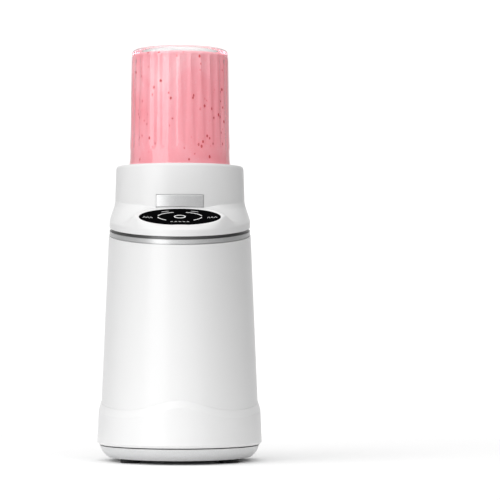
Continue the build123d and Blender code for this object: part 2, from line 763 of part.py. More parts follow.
def bearing_sleeve():
    """Flanged sleeve that carries the blade spindle."""
    sleeve = disc(SLEEVE_R, 212.6, 230) + disc(11.8, 229.2, 231.4) + disc(8.0, 231, 236)
    return sleeve - disc(SPINDLE_R + RUNNING, 200, 240)


def blade_spindle():
    """Steel spindle of the blades."""
    return disc(SPINDLE_R, 209.8, 249) + tube(5.4, SPINDLE_R - 0.1, 236.3, 238.6)


def blade_arm(lift, tip):
    """One sharpened arm, bent up or down from the hub."""
    shape = [(0, -5), (tip - 3, -4.2), (tip, -1.5), (tip - 5, 4.2), (0, 5)]
    arm = extrude(make_face(Polyline(*shape, close=True)), 1.4)
    bevel = Pos(tip / 2 + 4, 5.2, 0) * Rot(32, 0, 0) * Box(tip * 1.2, 4, 2.4)
    arm -= bevel
    return Pos(6.5, 0, 0) * Rot(0, -lift, 0) * arm


def blade_set(z, lift, tip, turn):
    """Two-armed blade around the spindle."""
    blade = disc(8.6, 0, 1.4)
    for side in (0, 180):
        blade += Rot(0, 0, side) * blade_arm(lift, tip)
    return Rot(0, 0, turn) * Pos(0, 0, z) * (blade - disc(SPINDLE_R, -5, 5))


def lower_blade():
    """Lower two-armed blade, arms bent slightly down."""
    return blade_set(238.8, -12, 23, 90)


def upper_blade():
    """Upper two-armed blade, arms bent up."""
    return blade_set(241.4, 38, 22, 0)


def blade_spacer():
    """Washer between the blades."""
    return tube(6.2, SPINDLE_R, 240.2, 241.4)


def blade_nut():
    """Domed nut that clamps the blades."""
    nut = extrude(level(242.8) * RegularPolygon(6.0, 6), 5.6) + disc(5.0, 248.4, 250.6)
    nut = fillet(nut.edges().sort_by(Axis.Z)[-1:], 1.8)
    return nut - disc(SPINDLE_R, 240, 249)


def star(inner, outer, width, low, high):
    """Toothed coupling profile."""
    return disc(inner, low, high) + slots(TOOTH_COUNT, 0, outer, width, low, high)


def drive_coupling():
    """Toothed coupling on the motor shaft."""
    return star(7.0, 10.0, 3.6, 203.8, 209.4) + disc(6.4, 202.4, 203.8) - disc(SHAFT_R, 200, 208.6)


def driven_coupling():
    """Socket coupling under the cup that drops over the drive coupling."""
    cap = disc(13.2, 204.4, 212.0) - star(7.5, 10.5, 4.6, 200, 209.8)
    return cap - disc(SPINDLE_R, 209.8, 220)


NODES = [
    main_housing, base_skirt, bottom_cover, rubber_feet, base_screws, housing_screws, accent_ring,
    top_housing, touch_panel, touch_board, cup_socket, release_button, release_spring,
    interlock_plunger, interlock_spring, interlock_switch, switch_bracket, stator_core,
    field_windings, upper_bracket, upper_bush, lower_bracket, lower_bush, motor_screws,
    lower_mounts, upper_mount, shaft_seal, motor_shaft, rotor_core, rotor_windings, commutator,
    cooling_fan, brush_holders, carbon_brushes, brush_springs, control_board, power_relay,
    filter_capacitor, board_transformer, heat_sink, power_switch, board_screws, cord_gland, cup,
    blade_holder, cup_gasket, bearing_sleeve, blade_spindle, lower_blade, upper_blade,
    blade_spacer, blade_nut, drive_coupling, driven_coupling,
]


def save(name, shape):
    """Write one node, moved so that the origin is under the middle of the outline."""
    pieces = shape if isinstance(shape, list) else [shape]
    solids = [solid for piece in pieces for solid in piece.solids()]
    export_step(Pos(0, AXIS_Y, 0) * Compound(children=solids), f"parts/{name}.step")


if __name__ == "__main__":
    os.makedirs("parts", exist_ok=True)
    for make in NODES:
        save(make.__name__, make())
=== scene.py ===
"""Looks of the countertop blender: materials, clear cup, smoothie, panel marks, light and camera."""
import json
import math

import bmesh
import bpy
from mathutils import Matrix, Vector


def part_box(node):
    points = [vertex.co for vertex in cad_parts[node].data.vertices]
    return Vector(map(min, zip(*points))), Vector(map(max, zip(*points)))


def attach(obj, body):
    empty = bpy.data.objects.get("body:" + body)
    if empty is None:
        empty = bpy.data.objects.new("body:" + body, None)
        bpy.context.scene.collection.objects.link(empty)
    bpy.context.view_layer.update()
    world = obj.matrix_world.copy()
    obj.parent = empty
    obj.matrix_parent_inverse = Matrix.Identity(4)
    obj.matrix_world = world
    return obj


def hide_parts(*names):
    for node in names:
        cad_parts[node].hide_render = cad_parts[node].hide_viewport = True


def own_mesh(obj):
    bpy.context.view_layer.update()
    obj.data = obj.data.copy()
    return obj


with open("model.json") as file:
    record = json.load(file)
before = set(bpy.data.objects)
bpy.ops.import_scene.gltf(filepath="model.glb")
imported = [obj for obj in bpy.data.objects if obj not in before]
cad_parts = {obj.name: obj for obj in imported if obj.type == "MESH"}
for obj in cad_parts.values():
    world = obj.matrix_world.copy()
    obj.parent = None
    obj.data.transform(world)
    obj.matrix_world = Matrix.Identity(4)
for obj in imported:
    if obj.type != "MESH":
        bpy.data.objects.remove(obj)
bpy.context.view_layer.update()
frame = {"nodes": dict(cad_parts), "record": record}

MM = 0.001
SEAM = math.tan(math.radians(7.2))       # slope of the seam and the ledge
PANEL_TILT = math.radians(27.5)          # slope of the shoulder at the touch panel
SHARP_EDGE = math.radians(38)            # edges that turn by more than this stay sharp
# The machine's upright axis, from the motor shaft in the frame.
LOW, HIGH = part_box("motor_shaft")
AXIS = Vector(((LOW[0] + HIGH[0]) / 2, (LOW[1] + HIGH[1]) / 2, 0.0))


# ---------------------------------------------------------------- material helpers
GRAIN_DEPTH = 0.0001      # metres, of a surface's fine grain


class Surface:
    """A node material under construction, with short helpers for its texture nodes."""

    def __init__(self, name):
        self.material = bpy.data.materials.new(name)
        self.material.use_nodes = True
        self.nodes = self.material.node_tree.nodes
        self.links = self.material.node_tree.links
        self.shader = self.nodes["Principled BSDF"]
        self.coordinates = self.nodes.new("ShaderNodeTexCoord").outputs["Object"]

    def set(self, **values):
        """Constant values on the shader's own sockets."""
        for name, value in values.items():
            self.shader.inputs[name.replace("_", " ")].default_value = value

    def join(self, source, target):
        self.links.new(source, target)

    def stretched(self, stretch):
        """Object coordinates, scaled along each axis."""
        mapping = self.nodes.new("ShaderNodeMapping")
        mapping.inputs["Scale"].default_value = stretch
        self.join(self.coordinates, mapping.inputs["Vector"])
        return mapping.outputs["Vector"]

    def noise(self, scale, detail=3.0, roughness=0.5, stretch=(1, 1, 1), distortion=0.0):
        """Cloudy noise, 0 to 1; scale is in features per metre."""
        node = self.nodes.new("ShaderNodeTexNoise")
        node.inputs["Scale"].default_value = scale
        node.inputs["Detail"].default_value = detail
        node.inputs["Roughness"].default_value = roughness
        node.inputs["Distortion"].default_value = distortion
        self.join(self.stretched(stretch), node.inputs["Vector"])
        return node.outputs["Fac"]

    def wave(self, scale, direction, distortion=0.0):
        """Even bands across one axis."""
        node = self.nodes.new("ShaderNodeTexWave")
        node.bands_direction = direction
        node.inputs["Scale"].default_value = scale
        node.inputs["Distortion"].default_value = distortion
        self.join(self.coordinates, node.inputs["Vector"])
        return node.outputs["Fac"]

    def cells(self, scale, randomness=1.0, stretch=(1, 1, 1)):
        """Distance from the nearest of many scattered points."""
        node = self.nodes.new("ShaderNodeTexVoronoi")
        node.inputs["Scale"].default_value = scale
        node.inputs["Randomness"].default_value = randomness
        self.join(self.stretched(stretch), node.inputs["Vector"])
        return node.outputs["Distance"]

    def along(self, direction, low, high):
        """0 to 1 between two places along a direction, in metres."""
        dot = self.nodes.new("ShaderNodeVectorMath")
        dot.operation = "DOT_PRODUCT"
        dot.inputs[1].default_value = direction
        self.join(self.coordinates, dot.inputs[0])
        node = self.nodes.new("ShaderNodeMapRange")
        node.inputs["From Min"].default_value = low
        node.inputs["From Max"].default_value = high
        self.join(dot.outputs["Value"], node.inputs["Value"])
        return node.outputs["Result"]

    def ramp(self, factor, *stops):
        """Colour ramp from (place, colour) stops; a colour of one number is a grey."""
        node = self.nodes.new("ShaderNodeValToRGB")
        elements = node.color_ramp.elements
        while len(elements) < len(stops):
            elements.new(0.5)
        for element, (place, colour) in zip(elements, stops):
            element.position = place
            element.color = (*colour, 1.0) if len(colour) == 3 else (colour[0],) * 3 + (1.0,)
        self.join(factor, node.inputs["Fac"])
        return node.outputs["Color"]

    def between(self, factor, low, high):
        """A 0 to 1 factor, spread between two values."""
        node = self.nodes.new("ShaderNodeMapRange")
        node.inputs["To Min"].default_value = low
        node.inputs["To Max"].default_value = high
        self.join(factor, node.inputs["Value"])
        return node.outputs["Result"]

    def blend(self, factor, first, second, mode="MIX"):
        """Two colours or outputs, mixed by a number or an output."""
        node = self.nodes.new("ShaderNodeMix")
        node.data_type = "RGBA"
        node.blend_type = mode
        sockets = (node.inputs[0], node.inputs[6], node.inputs[7])
        for socket, value in zip(sockets, (factor, first, second)):
            if isinstance(value, (int, float)):
                socket.default_value = value
            elif isinstance(value, tuple):
                socket.default_value = (*value, 1.0)
            else:
                self.join(value, socket)
        return node.outputs[2]

    def colour(self, output):
        self.join(output, self.shader.inputs["Base Color"])

    def rough(self, output):
        self.join(output, self.shader.inputs["Roughness"])

    def bump(self, height, strength, distance=GRAIN_DEPTH):
        node = self.nodes.new("ShaderNodeBump")
        node.inputs["Strength"].default_value = strength
        node.inputs["Distance"].default_value = distance
        self.join(height, node.inputs["Height"])
        self.join(node.outputs["Normal"], self.shader.inputs["Normal"])


def plastic(name, tone, spread, rough, grain, bump, specular=0.5):
    """Moulded plastic: faint tone drift, uneven gloss and a fine mould grain."""
    s = Surface(name)
    low = tuple(c * (1 - spread) for c in tone)
    high = tuple(min(1.0, c * (1 + spread)) for c in tone)
    s.colour(s.ramp(s.noise(9.0, 4.0), (0.3, low), (0.7, high)))
    s.rough(s.between(s.noise(60.0, 3.0), *rough))
    s.bump(s.noise(grain, 2.0), bump)
    s.set(IOR=1.5, Specular_IOR_Level=specular)
    return s.material


def metal(name, tone, rough, stretch=(1, 1, 1), grain=900.0, bump=0.05):
    """Metal with an even grain, or a brushed one where it is stretched."""
    s = Surface(name)
    tint = s.noise(grain, 3.0, stretch=stretch)
    low = tuple(c * 0.82 for c in tone)
    s.colour(s.ramp(tint, (0.25, low), (0.75, tone)))
    s.rough(s.between(s.noise(grain * 0.6, 2.0, stretch=stretch), *rough))
    s.bump(tint, bump)
    s.set(Metallic=1.0, IOR=2.0)
    return s.material


# ---------------------------------------------------------------- materials of the slots
SHADED_GROOVE_BAND = (0.205, 0.215)    # metres, height of the band, on the axis, where the groove's shadow is painted on as dark colour


def white_shell():
    return plastic("white_shell", (0.775, 0.775, 0.775), 0.003, (0.30, 0.315), 900.0, 0.004)


def grey_trim():
    """Satin grey, with painted shade: the deep groove in the sloping seam is painted dark where its shadow
    falls.
    """
    s = Surface("grey_trim")
    tint = s.noise(1500.0, 3.0)
    satin = s.ramp(tint, (0.25, (0.57, 0.573, 0.576)), (0.75, (0.70, 0.703, 0.706)))
    height = s.along((0, -SEAM, 1), *(z - AXIS.y * SEAM for z in SHADED_GROOVE_BAND))
    # Painted shade: a dark band in the groove under the ledge's lip, where shadow falls.
    painted_groove_shade = s.ramp(height, (0.50, (0.0,)), (0.53, (1.0,)), (0.93, (1.0,)), (0.96, (0.0,)))
    s.colour(s.blend(painted_groove_shade, satin, (0.10, 0.10, 0.10)))
    s.rough(s.between(s.noise(900.0, 2.0), 0.34, 0.40))
    s.bump(tint, 0.02)
    s.set(Metallic=0.45, IOR=2.0)
    return s.material


def socket_plastic():
    return plastic("socket_plastic", (0.70, 0.70, 0.70), 0.02, (0.35, 0.5), 1500.0, 0.12)


def dark_plastic():
    return plastic("dark_plastic", (0.028, 0.028, 0.03), 0.15, (0.38, 0.55), 1600.0, 0.2)


def dark_rubber():
    return plastic("dark_rubber", (0.018, 0.018, 0.018), 0.25, (0.62, 0.8), 2200.0, 0.35, specular=0.3)


def light_rubber():
    return plastic("light_rubber", (0.62, 0.62, 0.6), 0.04, (0.5, 0.65), 1500.0, 0.2, specular=0.35)


def black_glass():
    s = Surface("black_glass")
    s.colour(s.ramp(s.noise(40.0, 3.0), (0.3, (0.0015, 0.0015, 0.0018)), (0.7, (0.003, 0.003, 0.0034))))
    s.rough(s.between(s.noise(90.0, 2.0), 0.03, 0.07))
    s.set(Specular_IOR_Level=0.0)
    return s.material


def steel():
    return metal("steel", (0.62, 0.62, 0.63), (0.22, 0.36), stretch=(1, 1, 12))


def component(colour, tone, spread=0.05, rough=(0.25, 0.4), grain=1500.0, bump=0.05):
    return plastic("component_" + colour, tone, spread, rough, grain, bump)


def laminations():
    s = Surface("laminations")
    layers = s.wave(1250.0, "Z")
    s.colour(s.ramp(layers, (0.35, (0.10, 0.10, 0.105)), (0.75, (0.26, 0.26, 0.27))))
    s.rough(s.between(s.noise(300.0), 0.4, 0.6))
    s.bump(layers, 0.5, 0.0002)
    s.set(Metallic=0.85)
    return s.material


def copper():
    s = Surface("copper")
    turns = s.wave(900.0, "Z", 1.5)
    s.colour(s.ramp(turns, (0.3, (0.36, 0.12, 0.045)), (0.75, (0.72, 0.33, 0.15))))
    s.rough(s.between(s.noise(250.0), 0.22, 0.4))
    s.bump(turns, 0.7, 0.0003)
    s.set(Metallic=0.9)
    return s.material


def circuit_board():
    s = Surface("circuit_board")
    tracks = s.cells(160.0, 0.25)
    s.colour(s.ramp(tracks, (0.46, (0.012, 0.09, 0.045)), (0.52, (0.02, 0.15, 0.07))))
    s.rough(s.between(s.noise(200.0), 0.3, 0.5))
    s.bump(tracks, 0.15)
    return s.material


def clear_cup():
    s = Surface("clear_cup")
    s.colour(s.ramp(s.noise(14.0, 2.0), (0.3, (0.985, 0.99, 0.992)), (0.7, (1.0, 1.0, 1.0))))
    s.rough(s.between(s.noise(60.0, 2.0), 0.004, 0.02))
    s.set(Transmission_Weight=1.0, IOR=1.1, Coat_Weight=1.0, Coat_IOR=1.5, Coat_Roughness=0.02)
    return s.material


def smoothie():
    """Blended strawberries: folded pale streaks, deeper patches and crushed seeds.

    The faint emission stands in for the light that such a drink scatters.
    """
    s = Surface("smoothie")
    folds = s.noise(17.0, 5.0, 0.55, stretch=(1, 1, 0.55), distortion=1.1)
    pinks = ((0.28, (0.78, 0.32, 0.36)), (0.5, (0.82, 0.44, 0.49)), (0.72, (0.88, 0.66, 0.69)))
    body = s.ramp(folds, *pinks)
    froth = s.cells(420.0)
    pale = s.blend(s.ramp(froth, (0.0, (0.35,)), (0.25, (0.0,))), body, (0.99, 0.88, 0.90))
    pulp = s.ramp(s.cells(200.0, stretch=(1, 1, 0.7)), (0.17, (1.0,)), (0.27, (0.0,)))
    patch = s.ramp(s.noise(75.0, 2.0), (0.5, (0.0,)), (0.58, (1.0,)))
    specks = s.blend(1.0, pulp, patch, "MULTIPLY")
    s.colour(s.blend(specks, pale, (0.42, 0.06, 0.06)))
    s.rough(s.between(s.noise(120.0), 0.42, 0.6))
    s.bump(s.noise(160.0, 4.0), 0.25, 0.0004)
    s.set(Specular_IOR_Level=0.1, Emission_Color=(1.0, 0.12, 0.16, 1.0), Emission_Strength=0.27)
    return s.material


SLOT_MATERIALS = {
    "white_shell": white_shell,
    "grey_trim": grey_trim,
    "black_glass": black_glass,
    "clear_cup": clear_cup,
    "dark_rubber": dark_rubber,
    "light_rubber": light_rubber,
    "dark_plastic": dark_plastic,
    "socket_plastic": socket_plastic,
    "steel": steel,
    "zinc": lambda: metal("zinc", (0.56, 0.57, 0.60), (0.3, 0.45)),
    "laminations": laminations,
    "copper": copper,
    "brass": lambda: metal("brass", (0.70, 0.52, 0.22), (0.25, 0.4)),
    "bronze": lambda: metal("bronze", (0.42, 0.27, 0.14), (0.4, 0.6), grain=1500.0, bump=0.2),
    "cast_alloy": lambda: metal("cast_alloy", (0.58, 0.59, 0.60), (0.4, 0.6), grain=1200.0, bump=0.3),
    "carbon": lambda: plastic("carbon", (0.02, 0.02, 0.02), 0.3, (0.45, 0.6), 1800.0, 0.3),
    "circuit_board": circuit_board,
    "component_blue": lambda: component("blue", (0.06, 0.14, 0.34)),
    "component_yellow": lambda: component("yellow", (0.66, 0.46, 0.07), 0.06),
    "component_dark": lambda: component("dark", (0.03, 0.03, 0.034), 0.2, (0.35, 0.5), 1600.0, 0.15),
}


def dress_frame():
    """Gives every CAD node the material of its slot, and returns the materials by name."""
    made = {name: build() for name, build in SLOT_MATERIALS.items()}
    slots = {row["node"]: row["material_slot"] for row in frame["record"]["subparts"]}
    for node, piece in frame["nodes"].items():
        piece.data.materials.clear()
        piece.data.materials.append(made[slots[node]])
    return made


# ---------------------------------------------------------------- mesh helpers
def new_piece(name, mesh_builder, material, body, smooth=True):
    """Object from a function that fills a bmesh, riding on a body."""
    bm = bmesh.new()
    mesh_builder(bm)
    bmesh.ops.remove_doubles(bm, verts=bm.verts, dist=1e-7)
    bmesh.ops.recalc_face_normals(bm, faces=bm.faces)
    mesh = bpy.data.meshes.new(name)
    bm.to_mesh(mesh)
    bm.free()
    for face in mesh.polygons:
        face.use_smooth = smooth
    mesh.set_sharp_from_angle(angle=SHARP_EDGE)
    mesh.materials.append(material)
    piece = bpy.data.objects.new(name, mesh)
    bpy.context.collection.objects.link(piece)
    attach(piece, body)
    return piece


def around(radius, angle, height):
    """Place at a radius, an angle and a height in mm about the upright axis."""
    return AXIS + Vector((radius * math.cos(angle), radius * math.sin(angle), height)) * MM


def lathe(bm, profile, segments, radius_at=None):
    """Turns a profile of (radius, height) in mm about the upright axis.

    radius_at(radius, height, angle, index) may change a radius, for flutes.
    """
    rings = []
    for index, (radius, height) in enumerate(profile):
        if radius < 1e-6:
            rings.append([bm.verts.new(AXIS + Vector((0, 0, height * MM)))])
            continue
        ring = []
        for k in range(segments):
            angle = 2 * math.pi * k / segments
            r = radius_at(radius, height, angle, index) if radius_at else radius
            ring.append(bm.verts.new(around(r, angle, height)))
        rings.append(ring)
    for low, high in zip(rings, rings[1:]):
        for k in range(segments):
            n = (k + 1) % segments
            if len(low) == 1 and len(high) == 1:
                break
            if len(low) == 1:
                bm.faces.new((low[0], high[k], high[n]))
            elif len(high) == 1:
                bm.faces.new((low[k], low[n], high[0]))
            else:
                bm.faces.new((low[k], low[n], high[n], high[k]))


def eased(points, step):
    """Points along straight runs, no further apart than step."""
    result = [points[0]]
    for (r0, z0), (r1, z1) in zip(points, points[1:]):
        count = max(1, math.ceil(math.hypot(r1 - r0, z1 - z0) / step))
        for i in range(1, count + 1):
            result.append((r0 + (r1 - r0) * i / count, z0 + (z1 - z0) * i / count))
    return result


def rounded(corner, before, after, radius, count=6):
    """Points of a rounded corner between two neighbours."""
    c, a, b = Vector(corner), Vector(before), Vector(after)
    u, v = (a - c).normalized(), (b - c).normalized()
    half = u.angle(v) / 2
    reach = radius / math.tan(half)
    centre = c + (u + v).normalized() * (radius / math.sin(half))
    start, end = c + u * reach - centre, c + v * reach - centre
    result = []
    for i in range(count + 1):
        t = i / count
        d = start.slerp(end, t) if start.angle(end) > 1e-6 else start
        result.append(tuple(centre + d.normalized() * radius))
    return result


def sleeve(bm, rings):
    """Closed skin over rings of equal size, with a face on each end."""
    for low, high in zip(rings, rings[1:]):
        for k in range(len(low)):
            n = (k + 1) % len(low)
            bm.faces.new((low[k], low[n], high[n], high[k]))
    bm.faces.new(rings[0])
    bm.faces.new(rings[-1][::-1])


# ---------------------------------------------------------------- cup and contents, in mm
CUP_LOW, CUP_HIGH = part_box("cup")
RIM_Z = CUP_LOW[2] / MM
TOP_Z = CUP_HIGH[2] / MM
CEILING_Z = TOP_Z - 4.8          # inner face of the cup's thick end
CEILING_R, CEILING_CORNER, TOP_CORNER = 41.4, 3.0, 4.2
NECK_R, NECK_WALL = 48.7, 3.0
FLUTES = 28
FLUTE_R = 13.0
FLUTE_DEPTH = 0.75
FLUTE_Z = (RIM_Z + 59.0, RIM_Z + 137.0)
WALL_R = (45.6, 44.4)            # outside, at the lower and the upper end of the flutes
WALL_LEAN = (WALL_R[0] - WALL_R[1]) / (FLUTE_Z[1] - FLUTE_Z[0])
LUG_Z = (RIM_Z + 20.0, RIM_Z + 24.6)
LUG_R = CUP_HIGH[0] / MM
LUG_HALF = math.radians(12.2)
LUG_EDGE = 0.5
LUG_STEPS = 10
RIDGE_Z = (RIM_Z + 4.0, RIM_Z + 9.0)
FINE_STEP = 1.6                  # between rows where the flutes end in arches
CUP_SEGMENTS, DRINK_SEGMENTS, RIDGE_SEGMENTS = FLUTES * 16, FLUTES * 12, 180
# Outlines as (radius, height above the rim).
CUP_OUTSIDE = ((NECK_R - NECK_WALL, 0), (NECK_R, 0), (NECK_R, 29), (48.2, 33), (46.6, 41), (45.9, 47),
               (45.2, 74), (WALL_R[1], 139))
CUP_INSIDE = ((42.8, 54), (43.4, 43), (NECK_R - NECK_WALL, 30), (NECK_R - NECK_WALL, 0))
DRINK_OUTSIDE = ((44.2, -2.5), (44.2, 0.4), (45.76, 1.2), (45.76, 30), (44.1, 43), (43.5, 54))
BLADE_POCKET = ((0, 34), (20, 33), (31, 29), (31, 9.5), (13.9, 9.5), (13.9, -2.5), (44.2, -2.5))
DRINK_FLUTES = 1.3               # depth of the contents' flutes, as a share of the cup's
DRINK_R = 45.0                   # radius at which that depth is measured
DRINK_OVERLAP = (0.7, 0.05)      # of the contents with the clear wall: sideways and at the thick end
DRINK_FADE = (0.5, 3.0)          # below the contents' top, where their flutes end and where they are full


def above_rim(points):
    return [(radius, RIM_Z + height) for radius, height in points]


def fluted(radius, height, angle):
    """Radius where a scalloped flute with rounded ends may cut into the wall."""
    low, high = FLUTE_Z
    beyond = max(low - height, height - high, 0.0)
    if beyond >= FLUTE_R:
        return radius
    reach = WALL_R[0] - WALL_LEAN * (min(max(height, low), high) - low) + FLUTE_R - FLUTE_DEPTH
    pitch = 2 * math.pi / FLUTES
    off = (angle + pitch / 2) % pitch - pitch / 2
    off = abs(abs(off) - pitch / 2)
    size = math.sqrt(FLUTE_R ** 2 - beyond ** 2)
    side = reach * math.sin(off)
    if side >= size:
        return radius
    return min(radius, reach * math.cos(off) - math.sqrt(size ** 2 - side ** 2))


def cup_mesh(bm):
    """Thick-walled cup, mouth down, with flutes outside and a smooth wall inside."""
    top = rounded((WALL_R[1], TOP_Z), (WALL_R[1], TOP_Z - 20), (0, TOP_Z), TOP_CORNER, 8)
    outer = eased(above_rim(CUP_OUTSIDE), FINE_STEP) + top + [(30.0, TOP_Z), (15.0, TOP_Z), (0, TOP_Z)]
    corner = rounded((CEILING_R, CEILING_Z), (CEILING_R, CEILING_Z - 20), (0, CEILING_Z), CEILING_CORNER)
    inner = [(0, CEILING_Z), (20, CEILING_Z)] + corner[::-1]
    inner += eased([corner[0]] + above_rim(CUP_INSIDE), 3.0)[1:]

    def radius_at(radius, height, angle, index):
        return fluted(radius, height, angle) if index < len(outer) else radius

    lathe(bm, outer + inner, CUP_SEGMENTS, radius_at)


def lug_mesh(bm):
    """Four locking lugs and two thread ridges round the neck."""
    foot, (low, high) = NECK_R - 0.4, LUG_Z
    for i in range(4):
        rows = []
        for k in range(LUG_STEPS + 1):
            angle = math.pi / 2 * i - LUG_HALF + 2 * LUG_HALF * k / LUG_STEPS
            reach = LUG_R - (LUG_EDGE if k in (0, LUG_STEPS) else 0.0)
            outline = [(foot, low), (reach - LUG_EDGE, low), (reach, low + LUG_EDGE),
                       (reach, high - LUG_EDGE), (reach - LUG_EDGE, high), (foot, high)]
            rows.append([bm.verts.new(around(radius, angle, z)) for radius, z in outline])
        sleeve(bm, rows)
    for z in RIDGE_Z:
        foot, crest = NECK_R - 0.3, NECK_R + 0.8
        ridge = [(foot, z - 1.6), (crest, z - 0.4), (crest, z + 0.4), (foot, z + 1.6), (foot, z - 1.6)]
        lathe(bm, ridge, RIDGE_SEGMENTS)


def smoothie_mesh(bm):
    """Contents up to the cup's thick end, hollow round the blades so that they stay clear."""
    ceiling, reach = CEILING_Z + DRINK_OVERLAP[1], CEILING_R + DRINK_OVERLAP[0]
    corner = rounded((reach, ceiling), (reach, ceiling - 20), (0, ceiling), CEILING_CORNER)
    wall = eased(above_rim(DRINK_OUTSIDE) + [corner[0]], FINE_STEP)[1:]

    def radius_at(radius, height, angle, index):
        room = ceiling - DRINK_FADE[0] - height
        if radius < 40 or room < 0:
            return radius
        depth = FLUTE_DEPTH + fluted(DRINK_R, height, angle) - DRINK_R
        return radius + DRINK_FLUTES * depth * min(1.0, room / DRINK_FADE[1])

    outline = eased(above_rim(BLADE_POCKET), 6.0) + wall + corner[1:] + [(20, ceiling), (0, ceiling)]
    lathe(bm, outline, DRINK_SEGMENTS, radius_at)


# ---------------------------------------------------------------- interlock spring
COIL_TURNS = 4
STEPS_PER_TURN = 32
WIRE_R = 0.3
WIRE_SIDES = 10
COIL_LOW, COIL_HIGH = (Vector(v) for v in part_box("interlock_spring"))


def coil_mesh(bm):
    """Helical wire of the interlock's return spring."""
    middle = (COIL_LOW + COIL_HIGH) / 2
    radius = (COIL_HIGH.x - COIL_LOW.x) / 2 / MM - WIRE_R
    rise = (COIL_HIGH.z - COIL_LOW.z) / MM - 2 * WIRE_R
    turns = [2 * math.pi * i / WIRE_SIDES for i in range(WIRE_SIDES)]
    section = [(WIRE_R * MM * math.cos(a), WIRE_R * MM * math.sin(a)) for a in turns]
    rings = []
    steps = COIL_TURNS * STEPS_PER_TURN
    for k in range(steps + 1):
        angle = 2 * math.pi * COIL_TURNS * k / steps
        out = Vector((math.cos(angle), math.sin(angle), 0))
        centre = Vector((middle.x, middle.y, COIL_LOW.z)) + out * radius * MM
        centre.z += (WIRE_R + rise * k / steps) * MM
        rings.append([bm.verts.new(centre + out * u + Vector((0, 0, v))) for u, v in section])
    sleeve(bm, rings)


# ---------------------------------------------------------------- shoulder and collar, in mm
RING_Z, LEDGE_Z, FOOT_Z = 213.2, 219.0, 235.0
COLLAR_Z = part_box("top_housing")[1][2] / MM
LEDGE_SIZE = (64.43, 100.92)
COLLAR_SIZE = (59.25, 59.25)
BORE_R = 56.0
WINDOW_HALF, WINDOW_Z = 21.4, (228.3, 240.1)
PANEL_Y, PANEL_Z = -76.2, 218.8
PAD = (37.4, 15.9)               # half-sizes in plan of the flat seat round the panel
PAD_RISE = 0.12                  # of the seat over the panel's face
PAD_FALL, PAD_ROUND, PAD_EDGE = 1.1, 6.0, 3.0    # how steeply the seat's side falls, and its blends
SLOPE_STEPS = 32
HOUSING_SEGMENTS = 240
FILLET_RISE, FILLET_SHARE = 2.4, 0.22
FILLET_GAP, FILLET_RUN = 1.0, 14.0       # beside the window, where the fillet starts and fades in
TAPER_Z, TAPER_INSET = 252.0, 0.35
WALL = 2.6
LIP = ((0.0, RING_Z), (0.0, LEDGE_Z - 1.6), (0.03, LEDGE_Z - 0.8), (0.08, LEDGE_Z - 0.2))
COLLAR_ROUND = ((0.75, 3.2), (1.0, 1.9), (1.5, 0.8), (2.2, 0.15), (2.9, 0.0))    # inset, drop


def outline_point(size, inset, angle):
    """Plan position on a half-ellipse to the front and a half-circle to the rear."""
    half, front = size[0] - inset, size[1] - inset
    return half * math.cos(angle), (front if math.sin(angle) < 0 else half) * math.sin(angle)


def shoulder_height(x, y, share):
    """Sloping shoulder that swells smoothly up to the panel's face round the panel."""
    shoulder = LEDGE_Z + (FOOT_Z - LEDGE_Z) * share + y * SEAM
    plane = PANEL_Z + (y - PANEL_Y) * math.tan(PANEL_TILT) + PAD_RISE
    dx, dy = x / PAD[0], (y - PANEL_Y) / PAD[1]
    ratio = math.hypot(dx, dy)
    if ratio <= 1.0:
        return plane
    outside = (ratio - 1.0) * math.hypot(x, y - PANEL_Y) / ratio
    pad = plane - PAD_FALL * outside ** 2 / (outside + PAD_ROUND)
    blend = min(outside / PAD_EDGE, 1.0)
    swell = (shoulder + pad + math.hypot(shoulder - pad, PAD_ROUND * blend)) / 2
    # The swelling fades out at the ledge and at the collar's foot.
    swell = shoulder + (swell - shoulder) * min(1.0, 6 * share, 4 * (1 - share))
    return plane + (swell - plane) * blend * blend * (3 - 2 * blend)


def inner_angle(angle):
    """Turns a section's inner points so that the window's sides are parallel."""
    off = angle - 1.5 * math.pi
    if abs(off) >= math.pi / 2:
        return angle
    turn, reach = (math.asin(WINDOW_HALF / radius) for radius in (COLLAR_SIZE[0], BORE_R))
    share = abs(off) / turn if abs(off) <= turn else (math.pi / 2 - abs(off)) / (math.pi / 2 - turn)
    return angle + math.copysign((reach - turn) * share, off)


def housing_rows(angle):
    """Section of the moulding at one angle, from the lip's foot up and back down inside."""
    rows = []
    inside = inner_angle(angle)

    def put(size, inset, height, tilt=True, turned=angle):
        x, y = outline_point(size, inset, turned)
        rows.append((x, y, height + (y * SEAM if tilt else 0.0)))

    for inset, height in LIP:
        put(LEDGE_SIZE, inset, height)
    for k in range(1, SLOPE_STEPS + 1):
        share = k / SLOPE_STEPS
        size = [a + (b - a) * share for a, b in zip(LEDGE_SIZE, COLLAR_SIZE)]
        x, y = outline_point(size, 0.0, angle)
        beside = 1.0 if y > 0 else min(max((abs(x) - WINDOW_HALF - FILLET_GAP) / FILLET_RUN, 0.0), 1.0)
        fillet = FILLET_RISE * beside * max(0.0, (share - 1) / FILLET_SHARE + 1) ** 2
        rows.append((x, y, shoulder_height(x, y, share) + fillet))
    foot = rows[-1][2]
    edges = [max(foot + 0.1 * (i + 1), z) for i, z in enumerate((*WINDOW_Z, TAPER_Z))]
    for inset, z in zip((0.0, 0.0, TAPER_INSET), edges):
        put(COLLAR_SIZE, inset, z, False)
    for inset, drop in COLLAR_ROUND:
        put(COLLAR_SIZE, inset, COLLAR_Z - drop, False)
    inner = COLLAR_SIZE[0] - BORE_R
    put(COLLAR_SIZE, inner, COLLAR_Z - 0.3, False)
    for z in edges[::-1]:
        put(COLLAR_SIZE, inner, z, False, inside)
    put(COLLAR_SIZE, inner, foot - 4.0, False, inside)
    put(LEDGE_SIZE, WALL, LEDGE_Z - 3.0)
    put(LEDGE_SIZE, WALL, RING_Z)
    return rows


